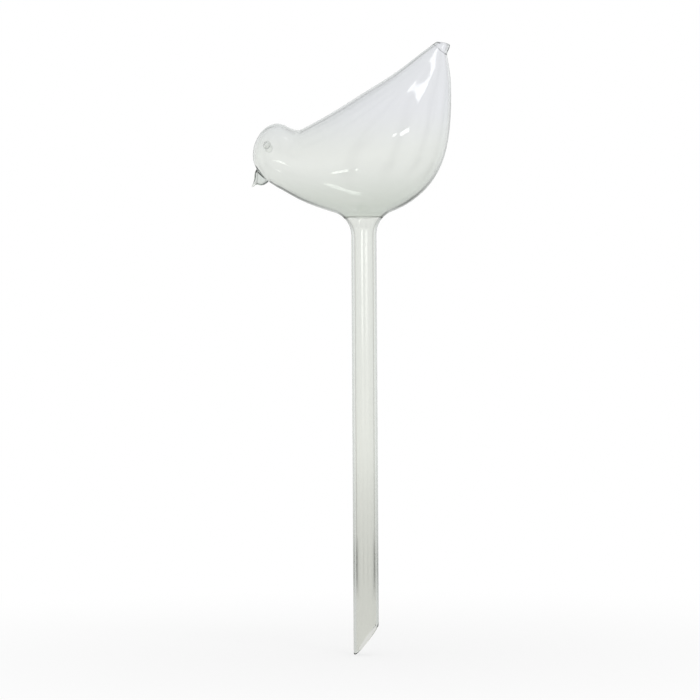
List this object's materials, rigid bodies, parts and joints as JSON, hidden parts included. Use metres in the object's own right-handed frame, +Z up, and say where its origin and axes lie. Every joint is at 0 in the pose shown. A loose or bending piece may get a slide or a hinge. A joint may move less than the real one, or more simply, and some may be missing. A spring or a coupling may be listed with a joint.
{
  "type": "watering globe",
  "caption": "Clear blown-glass watering globe shaped like a bird, with a filler mouth at the tail and a long hollow stem cut to a slanting point that waters a plant pot.",
  "frame": {"origin": "on the axis of the stem, level with its pointed tip", "axes": "+Z up the stem to the bird, -X the way the bird looks, Y across the bird"},
  "size_m": [0.0869, 0.0472, 0.2662],
  "materials": {
    "bird_glass": "clear blown glass, fire-bright",
    "stem_glass": "clear drawn glass tube, fire-bright",
    "lip_glass": "clear glass, flared and melted smooth",
    "beak_glass": "clear solid glass, pinched and drawn out",
    "eye_glass": "clear solid glass dot"
  },
  "bodies": {
    "root": {"bird_bulb": "bird_glass", "stem_tube": "stem_glass", "tail_lip": "lip_glass", "beak": "beak_glass", "eye_left": "eye_glass", "eye_right": "eye_glass"}
  },
  "joints": []
}
